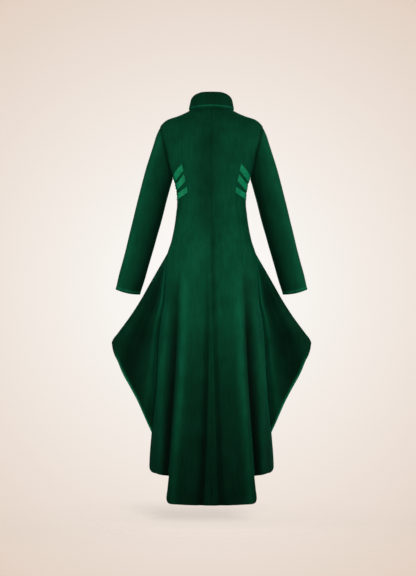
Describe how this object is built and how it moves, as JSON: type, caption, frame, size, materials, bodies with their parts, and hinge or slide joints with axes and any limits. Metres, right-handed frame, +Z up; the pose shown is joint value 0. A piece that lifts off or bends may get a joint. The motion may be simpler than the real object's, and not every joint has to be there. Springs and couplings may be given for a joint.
{
  "type": "redingote coat",
  "caption": "Floor-length fitted coat in dark green velvet with flared side folds, stepped back hem and satin side bands, held open and empty.",
  "frame": {"origin": "middle of the neck's base, between the shoulder seams, where the wearer's shoulders carry the coat", "axes": "+Z up the coat to the collar, +Y out of its back, +X to the wearer's left; the buttoned front faces -Y"},
  "size_m": [0.7326, 0.3901, 1.4885],
  "materials": {
    "velvet": "dark emerald cotton velvet with a short pile",
    "satin_band": "smooth emerald satin",
    "covered_button": "button covered in the same velvet"
  },
  "bodies": {
    "root": {"back_left": "velvet", "side_back_left": "velvet", "side_front_left": "velvet", "front_left": "velvet", "sleeve_left": "velvet", "back_right": "velvet", "side_back_right": "velvet", "side_front_right": "velvet", "front_right": "velvet", "sleeve_right": "velvet", "collar_stand": "velvet", "collar_fall": "velvet", "band_left_1": "satin_band", "band_left_2": "satin_band", "band_left_3": "satin_band", "band_right_1": "satin_band", "band_right_2": "satin_band", "band_right_3": "satin_band", "button_1": "covered_button", "button_2": "covered_button", "button_3": "covered_button", "button_4": "covered_button", "button_5": "covered_button", "button_6": "covered_button", "button_7": "covered_button"}
  },
  "joints": []
}
